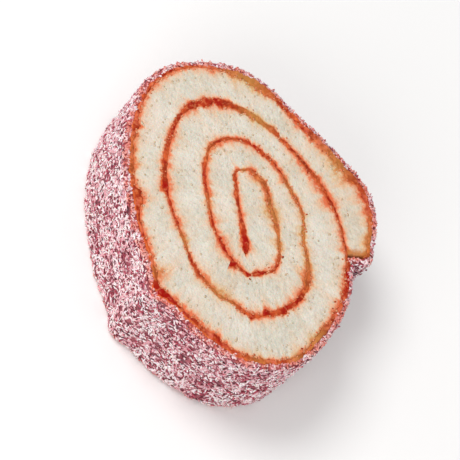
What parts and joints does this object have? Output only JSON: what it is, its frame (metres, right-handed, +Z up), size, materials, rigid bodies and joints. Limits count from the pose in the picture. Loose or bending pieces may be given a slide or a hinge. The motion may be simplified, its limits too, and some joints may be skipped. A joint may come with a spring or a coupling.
{
  "type": "swiss roll cake slice",
  "caption": "Thick oval slice of swiss roll: pale sponge rolled up with red jelly, with a jelly skin and a coat of pink desiccated coconut, lying on its cut face.",
  "frame": {"origin": "centre of the footprint of the slice at the table plane, under the cut face it lies on", "axes": "+Z up, along the roll, square to both cut faces; +Y along the longer side of the oval; +X towards the side where the sheet of sponge ends"},
  "size_m": [0.0814, 0.0986, 0.034],
  "materials": {
    "sponge": "pale cream sponge cake with a fine open crumb, dry and matte",
    "jelly": "red fruit jelly, moist and glossy, stained orange where it soaks into the sponge",
    "coconut": "desiccated coconut soaked with jelly: white, pink and crimson shreds over dark red gaps, matte"
  },
  "bodies": {
    "root": {"sponge": "sponge", "jelly": "jelly", "coconut_coat": "coconut"}
  },
  "joints": []
}
